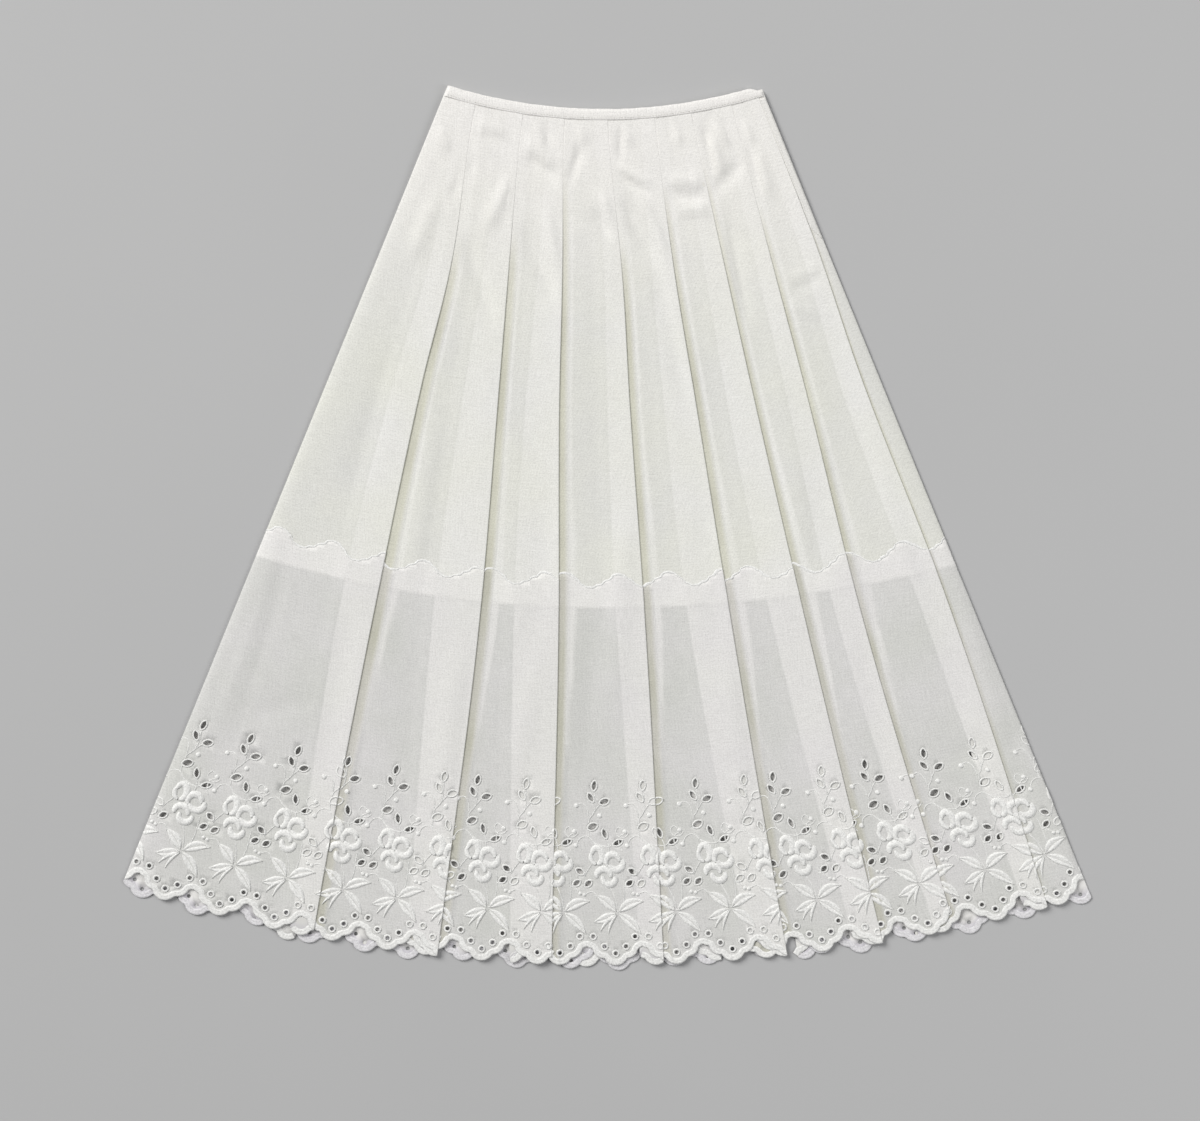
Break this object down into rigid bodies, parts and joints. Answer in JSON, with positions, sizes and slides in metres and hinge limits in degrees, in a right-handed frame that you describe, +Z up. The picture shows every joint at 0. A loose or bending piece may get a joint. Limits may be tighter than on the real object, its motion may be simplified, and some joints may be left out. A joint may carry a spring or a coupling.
{
  "type": "long pleated skirt",
  "caption": "Long white cotton skirt laid flat, knife-pleated to a narrow waist binding, with an eyelet-embroidered border and scalloped hem.",
  "frame": {"origin": "on the surface the skirt lies on, under the middle of its bounding box", "axes": "+Z up off the surface, out of the skirt's front; +Y from hem to waist; +X to the viewer's right as the front is seen"},
  "size_m": [0.9718, 0.8876, 0.0079],
  "materials": {
    "plain_cotton": "matt fine plain weave, slightly sheer",
    "embroidered_cotton": "matt fine plain weave with white satin embroidery",
    "binding_cotton": "matt doubled binding, stitched along its lower edge"
  },
  "bodies": {
    "root": {"skirt_front": "plain_cotton", "skirt_back": "plain_cotton", "border_front": "embroidered_cotton", "border_back": "embroidered_cotton", "waist_binding_front": "binding_cotton", "waist_binding_back": "binding_cotton", "side_placket": "plain_cotton"}
  },
  "joints": []
}
